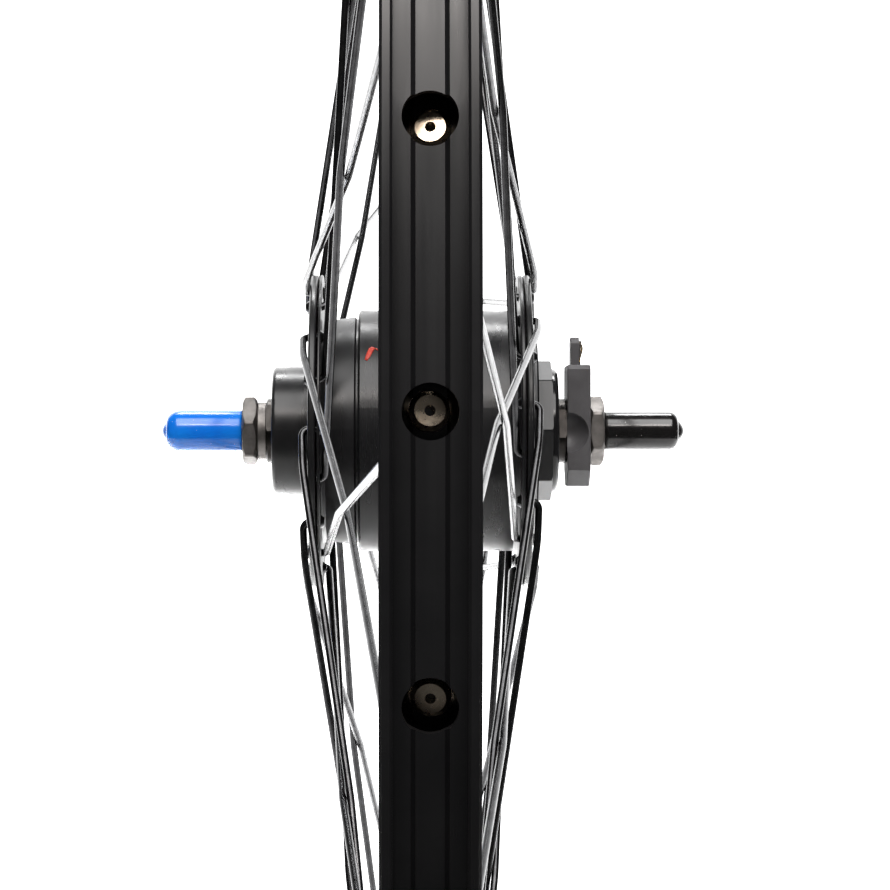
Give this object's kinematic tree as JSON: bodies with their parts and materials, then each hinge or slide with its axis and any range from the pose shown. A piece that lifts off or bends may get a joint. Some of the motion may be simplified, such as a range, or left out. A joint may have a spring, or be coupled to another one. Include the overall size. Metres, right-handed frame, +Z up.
{
  "type": "bicycle dynamo hub front wheel",
  "caption": "Laced bicycle front wheel without tyre: dynamo hub with lamp connector, crossed spokes, hollow rim, capped axle.",
  "frame": {"origin": "centre of the wheel: the axle's axis in the middle plane of the rim, which is also the middle of the axle", "axes": "+Y along the axle towards the lamp connector, +Z up towards the connector's tongue, +X forward in the wheel's plane"},
  "size_m": [0.6339, 0.145, 0.634],
  "materials": {
    "axle_steel": "zinc plated, satin",
    "nut_steel": "black nickel, satin",
    "cone_steel": "hardened, dark",
    "soft_iron": "plain",
    "bobbin_plastic": "natural",
    "copper": "enamelled wire",
    "lead_insulation": "matt",
    "connector_plastic": "satin moulded",
    "gilded_contact": "gilded",
    "black_anodised": "satin black",
    "gloss_black": "gloss black",
    "bearing_steel": "ground",
    "seal_rubber": "matt",
    "magnet": "sintered",
    "rim_black": "satin black",
    "plain_aluminium": "mill",
    "spoke_steel": "drawn stainless",
    "nipple_brass": "nickel plated brass",
    "retainer_steel": "pressed",
    "blue_vinyl": "gloss vinyl",
    "black_vinyl": "gloss vinyl"
  },
  "bodies": {
    "axle_assembly": {"axle": "axle_steel", "locknut_left": "nut_steel", "locknut_right": "nut_steel", "lock_washer_left": "nut_steel", "cone_left": "cone_steel", "cone_right": "cone_steel", "spacer_left": "axle_steel", "spacer_right": "axle_steel", "stator_core": "soft_iron", "stator_yoke_left": "soft_iron", "stator_yoke_right": "soft_iron", "coil_bobbin": "bobbin_plastic", "coil_winding": "copper", "coil_lead": "lead_insulation", "connector_body": "connector_plastic", "connector_terminal": "connector_plastic", "terminal_contacts": "gilded_contact"},
    "wheel": {"hub_shell": "black_anodised", "end_bell_left": "black_anodised", "flange_plate_left": "black_anodised", "flange_plate_right": "black_anodised", "bearing_housing_left": "black_anodised", "lid_right": "black_anodised", "dust_cap_right": "gloss_black", "bearing_cup_left": "bearing_steel", "bearing_cup_right": "bearing_steel", "seal_left": "seal_rubber", "seal_right": "seal_rubber", "magnet_segments": "magnet", "magnet_backing_ring": "soft_iron", "rim": "rim_black", "rim_joint_sleeve": "plain_aluminium", "spokes_left_outside": "spoke_steel", "spokes_left_inside": "spoke_steel", "spokes_right_outside": "spoke_steel", "spokes_right_inside": "spoke_steel", "nipples_left_outside": "nipple_brass", "nipples_left_inside": "nipple_brass", "nipples_right_outside": "nipple_brass", "nipples_right_inside": "nipple_brass"},
    "ball_cage_left": {"bearing_balls_left": "bearing_steel", "ball_retainer_left": "retainer_steel"},
    "ball_cage_right": {"bearing_balls_right": "bearing_steel", "ball_retainer_right": "retainer_steel"},
    "cap_left": {"axle_cap_left": "blue_vinyl"},
    "cap_right": {"axle_cap_right": "black_vinyl"}
  },
  "joints": [
    {"name": "wheel_spin", "type": "hinge", "parent": "axle_assembly", "child": "wheel", "pos_m": [0, 0, 0], "axis": [0, 1, 0], "continuous": true},
    {"name": "cage_left_roll", "type": "hinge", "parent": "axle_assembly", "child": "ball_cage_left", "pos_m": [0, -0.037, 0], "axis": [0, 1, 0], "continuous": true},
    {"name": "cage_right_roll", "type": "hinge", "parent": "axle_assembly", "child": "ball_cage_right", "pos_m": [0, 0.0316, 0], "axis": [0, 1, 0], "continuous": true},
    {"name": "cap_left_pull", "type": "slide", "parent": "axle_assembly", "child": "cap_left", "axis": [0, -1, 0], "range_m": [0, 0.024]},
    {"name": "cap_right_pull", "type": "slide", "parent": "axle_assembly", "child": "cap_right", "axis": [0, 1, 0], "range_m": [0, 0.024]}
  ],
  "couplings": [
    {"joint": "cage_left_roll", "follows": "wheel_spin", "ratio": 0.599},
    {"joint": "cage_right_roll", "follows": "wheel_spin", "ratio": 0.599}
  ]
}
